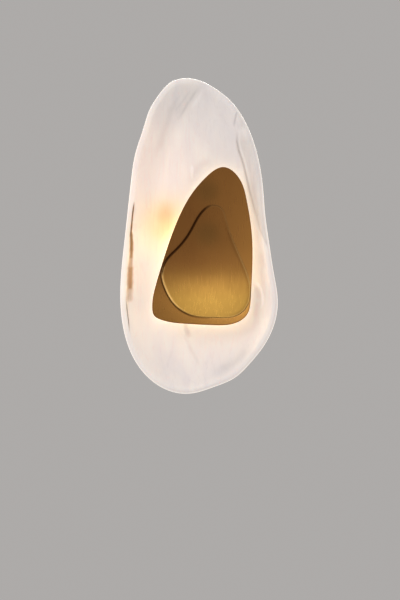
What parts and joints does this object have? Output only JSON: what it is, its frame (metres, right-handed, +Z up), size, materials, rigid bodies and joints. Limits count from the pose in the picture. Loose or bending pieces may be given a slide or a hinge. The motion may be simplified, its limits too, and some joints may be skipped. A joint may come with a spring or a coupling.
{
  "type": "wall sconce",
  "caption": "Wall light with a long, shell-like opal glass dish on a round pan and a two-leaf brushed brass cover that pulls off its magnets over plug-in lamps.",
  "frame": {"origin": "middle of the wall bracket's slot pattern, on the wall surface", "axes": "+Z up, +X to the right seen from the front, front faces -Y, wall at Y = 0"},
  "size_m": [0.1891, 0.0819, 0.3792],
  "materials": {
    "leaf_brass": "brushed upright, clear lacquer",
    "pan_brass": "satin",
    "opal_glass": "cloudy white, fire polished",
    "zinc_steel": "zinc plated",
    "white_steel": "matt powder coat",
    "steatite": "unglazed",
    "clear_silicone": "soft, satin",
    "black_rubber": "matt",
    "nylon": "natural",
    "lead_brown": "satin",
    "lead_blue": "satin",
    "lead_green": "satin",
    "green_steel": "green passivated",
    "lamp_glass": "frosted, lit",
    "lamp_plastic": "white",
    "nickel": "nickel plated"
  },
  "bodies": {
    "fixture": {"wall_bracket": "zinc_steel", "ground_screw": "green_steel", "earth_lead": "lead_green", "back_pan": "pan_brass", "rim_gasket": "black_rubber", "side_screws": "pan_brass", "terminal_block": "nylon", "terminal_inserts": "nickel", "terminal_screws": "zinc_steel", "terminal_block_screw": "zinc_steel", "live_leads": "lead_brown", "neutral_leads": "lead_blue", "stem": "zinc_steel", "stem_washers": "zinc_steel", "stem_nuts": "zinc_steel", "stem_end_bushes": "nylon", "glass_washer_rear": "clear_silicone", "glass_shell": "opal_glass", "glass_bush": "nylon", "glass_washer_front": "clear_silicone", "tie_screws": "zinc_steel", "tie_sleeves": "nylon", "tie_nuts": "zinc_steel", "lamp_plate": "white_steel", "upper_lampholder": "steatite", "lower_lampholder": "steatite", "holder_brackets": "zinc_steel", "holder_screws": "zinc_steel", "lamp_envelopes": "lamp_glass", "lamp_cores": "lamp_plastic", "lamp_bases": "lamp_plastic", "lamp_pins": "nickel", "cover_posts": "zinc_steel", "post_magnets": "nickel"},
    "cover": {"rear_leaf": "leaf_brass", "front_leaf": "leaf_brass", "cover_cups": "zinc_steel", "leaf_studs": "leaf_brass", "leaf_spacers": "leaf_brass", "leaf_washers": "nylon", "leaf_nuts": "zinc_steel"}
  },
  "joints": [
    {"name": "cover_pull", "type": "slide", "parent": "fixture", "child": "cover", "axis": [0, -1, 0], "range_m": [0, 0.07]}
  ]
}
